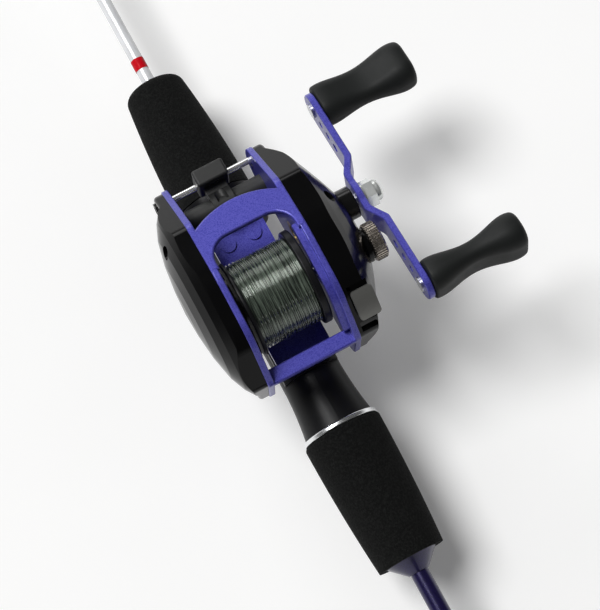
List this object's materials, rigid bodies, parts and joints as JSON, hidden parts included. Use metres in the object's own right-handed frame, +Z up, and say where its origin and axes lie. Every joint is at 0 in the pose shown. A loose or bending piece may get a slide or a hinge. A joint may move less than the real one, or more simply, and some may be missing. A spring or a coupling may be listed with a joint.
{
  "type": "fishing rod and reel",
  "caption": "Short bait-casting rod with foam grips and a trigger seat, carrying a low-profile reel with a double-knob crank, level wind, spool of line and thumb clutch lever.",
  "frame": {"origin": "centre of the flat butt end of the rod, on the rod's axis", "axes": "+X along the rod from butt to tip, +Y to the angler's left, +Z up, where the reel sits"},
  "size_m": [1.1, 0.1008, 0.0733],
  "materials": {
    "purple_frame": "gloss",
    "purple_lacquer": "gloss",
    "white_lacquer": "gloss",
    "red_thread": "gloss",
    "guide_thread": "gloss",
    "foam": "matte",
    "butt_rubber": "matte",
    "knob_rubber": "matte",
    "seat_plastic": "satin",
    "arbor_foam": "matte",
    "cover_gloss": "gloss",
    "black_plastic": "satin",
    "bright_metal": "polished",
    "guide_metal": "satin",
    "guide_ceramic": "polished",
    "steel": "satin",
    "zinc": "polished",
    "foot_metal": "satin",
    "spool_metal": "satin",
    "nylon": "gloss",
    "brass": "satin",
    "gear_plastic": "satin",
    "lever_metal": "satin",
    "knob_metal": "satin"
  },
  "bodies": {
    "rod": {"reel_frame": "purple_frame", "handle_tube": "purple_lacquer", "cone_check": "purple_lacquer", "rod_blank": "white_lacquer", "red_band": "red_thread", "guide_wraps": "guide_thread", "butt_grip": "foam", "rear_grip": "foam", "butt_cap": "butt_rubber", "reel_seat": "seat_plastic", "seat_arbors": "arbor_foam", "left_cover": "cover_gloss", "right_cover": "cover_gloss", "clutch_housing": "black_plastic", "worm_tube": "black_plastic", "trim_ring": "bright_metal", "guide_frame_1": "guide_metal", "guide_frame_2": "guide_metal", "guide_frame_3": "guide_metal", "guide_frame_4": "guide_metal", "tip_top": "guide_metal", "guide_rings": "guide_ceramic", "tip_ring": "guide_ceramic", "guide_bar": "steel", "foot_rivets": "steel", "yoke_posts": "steel", "cover_screws": "steel", "left_bearing": "steel", "right_bearing": "steel", "roller_clutch": "steel", "reel_foot": "foot_metal", "shaft_bush": "brass"},
    "crank": {"drive_shaft": "steel", "drive_gear": "brass", "wind_gear": "gear_plastic", "handle_arm": "purple_frame", "handle_washer": "zinc", "handle_nut": "zinc", "knob_posts": "steel"},
    "front_knob": {"front_knob": "knob_rubber"},
    "rear_knob": {"rear_knob": "knob_rubber"},
    "spool": {"spool": "spool_metal", "spool_shaft": "steel", "spool_pin": "steel", "line_core": "nylon", "line_winding": "nylon"},
    "clutch_lever": {"clutch_lever": "lever_metal"},
    "clutch_yoke": {"clutch_yoke": "gear_plastic"},
    "pinion": {"pinion": "brass"},
    "idler": {"idler_gear": "gear_plastic"},
    "worm": {"worm_shaft": "steel", "worm_gear": "gear_plastic"},
    "carriage": {"line_carriage": "black_plastic", "line_eyelet": "guide_ceramic", "worm_pawl": "brass"},
    "tension_knob": {"tension_knob": "knob_metal"},
    "seat_hood": {"seat_hood": "seat_plastic"},
    "fore_grip": {"lock_nut": "seat_plastic", "fore_grip": "foam"}
  },
  "joints": [
    {"name": "crank_turn", "type": "hinge", "parent": "rod", "child": "crank", "pos_m": [0.25474, -0.025, 0.0282], "axis": [0, 1, 0], "continuous": true},
    {"name": "front_knob_spin", "type": "hinge", "parent": "crank", "child": "front_knob", "pos_m": [0.2891, -0.055, 0.02058], "axis": [0, 1, 0], "continuous": true},
    {"name": "rear_knob_spin", "type": "hinge", "parent": "crank", "child": "rear_knob", "pos_m": [0.22037, -0.055, 0.03582], "axis": [0, 1, 0], "continuous": true},
    {"name": "spool_turn", "type": "hinge", "parent": "rod", "child": "spool", "pos_m": [0.24, 0, 0.031], "axis": [0, 1, 0], "continuous": true},
    {"name": "clutch_press", "type": "hinge", "parent": "rod", "child": "clutch_lever", "pos_m": [0.233, -0.022, 0.0275], "axis": [0, -1, 0], "range_deg": [0, 12]},
    {"name": "yoke_slide", "type": "slide", "parent": "rod", "child": "clutch_yoke", "axis": [0, -1, 0], "range_m": [0, 0.00141]},
    {"name": "pinion_turn", "type": "hinge", "parent": "clutch_yoke", "child": "pinion", "pos_m": [0.24, -0.02, 0.031], "axis": [0, 1, 0], "continuous": true},
    {"name": "idler_turn", "type": "hinge", "parent": "rod", "child": "idler", "pos_m": [0.26482, -0.017, 0.02528], "axis": [0, 1, 0], "continuous": true},
    {"name": "worm_turn", "type": "hinge", "parent": "rod", "child": "worm", "pos_m": [0.27443, 0, 0.0225], "axis": [0, 1, 0], "continuous": true},
    {"name": "carriage_slide", "type": "slide", "parent": "rod", "child": "carriage", "axis": [0, 1, 0], "range_m": [-0.008, 0.008]},
    {"name": "tension_turn", "type": "hinge", "parent": "rod", "child": "tension_knob", "pos_m": [0.24, -0.034, 0.031], "axis": [0, 1, 0], "range_deg": [-180, 360]},
    {"name": "hood_slide", "type": "slide", "parent": "rod", "child": "seat_hood", "axis": [1, 0, 0], "range_m": [0, 0.00751]},
    {"name": "fore_grip_turn", "type": "hinge", "parent": "seat_hood", "child": "fore_grip", "pos_m": [0.3, 0, 0], "axis": [1, 0, 0], "range_deg": [0, 1800]}
  ],
  "couplings": [
    {"joint": "spool_turn", "follows": "crank_turn", "ratio": -4},
    {"joint": "pinion_turn", "follows": "crank_turn", "ratio": -4},
    {"joint": "idler_turn", "follows": "crank_turn", "ratio": -0.90909},
    {"joint": "worm_turn", "follows": "crank_turn", "ratio": 1.1111},
    {"joint": "yoke_slide", "follows": "clutch_press", "m_per_rad": 0.0066845},
    {"joint": "hood_slide", "follows": "fore_grip_turn", "m_per_rad": 0.00023873}
  ]
}
